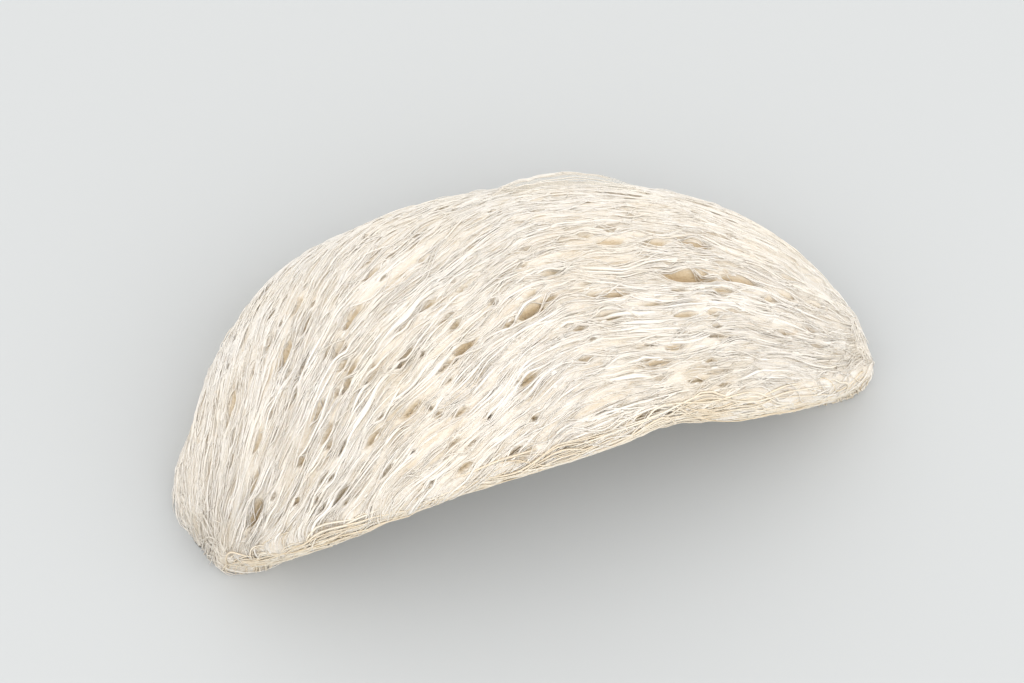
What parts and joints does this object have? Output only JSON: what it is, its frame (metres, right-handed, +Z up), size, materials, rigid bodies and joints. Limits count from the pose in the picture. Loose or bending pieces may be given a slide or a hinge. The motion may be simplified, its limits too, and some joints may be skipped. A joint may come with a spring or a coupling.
{
  "type": "edible bird's nest",
  "caption": "Edible bird's nest: half-moon cup of fused dried strands with a hollow behind an arched rim, lying on the flat edge that held it to the wall.",
  "frame": {"origin": "middle of the footprint, on the plane the nest lies on, which is the plane of the wall it was built against", "axes": "+X from the left foot to the right foot, seen from the mouth; +Z up, away from the wall; the mouth opens towards -Y"},
  "size_m": [0.093, 0.0474, 0.0314],
  "materials": {
    "dried_strands": "matt ivory dried strands, brittle and a little translucent"
  },
  "bodies": {
    "root": {"nest": "dried_strands"}
  },
  "joints": []
}
